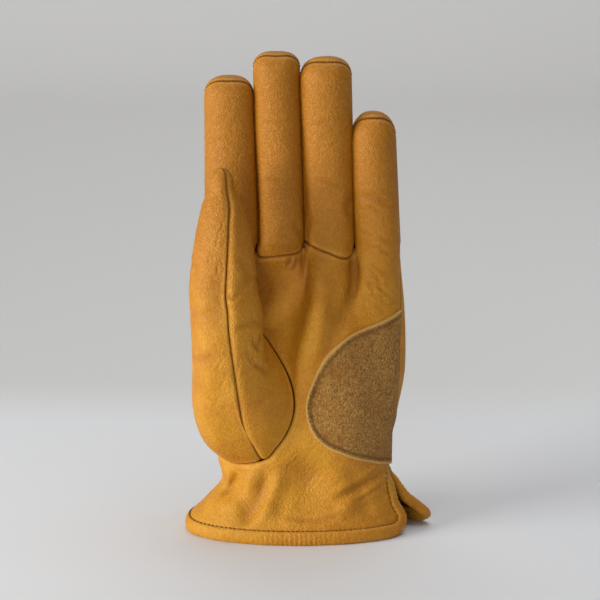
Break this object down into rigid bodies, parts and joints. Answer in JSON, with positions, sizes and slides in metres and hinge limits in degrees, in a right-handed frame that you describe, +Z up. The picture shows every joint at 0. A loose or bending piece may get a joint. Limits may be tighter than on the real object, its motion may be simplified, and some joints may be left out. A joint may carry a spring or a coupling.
{
  "type": "leather work glove",
  "caption": "Left-hand leather work glove standing open on its cuff, with the thumb set into the palm, a suede heel patch and a bound cuff with a side vent.",
  "frame": {"origin": "on the standing surface, under the middle of the glove's bounding box", "axes": "+Z up from the cuff to the fingertips, -Y out of the palm, +X from the thumb side to the little finger side"},
  "size_m": [0.122, 0.0768, 0.2396],
  "materials": {
    "grain_leather": "soft golden tan grain leather with a low sheen",
    "suede": "napped brown suede with a pale cut edge",
    "thread": "dark brown sewing thread"
  },
  "bodies": {
    "root": {"back": "grain_leather", "palm": "grain_leather", "middle_front": "grain_leather", "ring_front": "grain_leather", "thumb": "grain_leather", "heel_patch": "suede", "hem_binding": "grain_leather"}
  },
  "joints": []
}
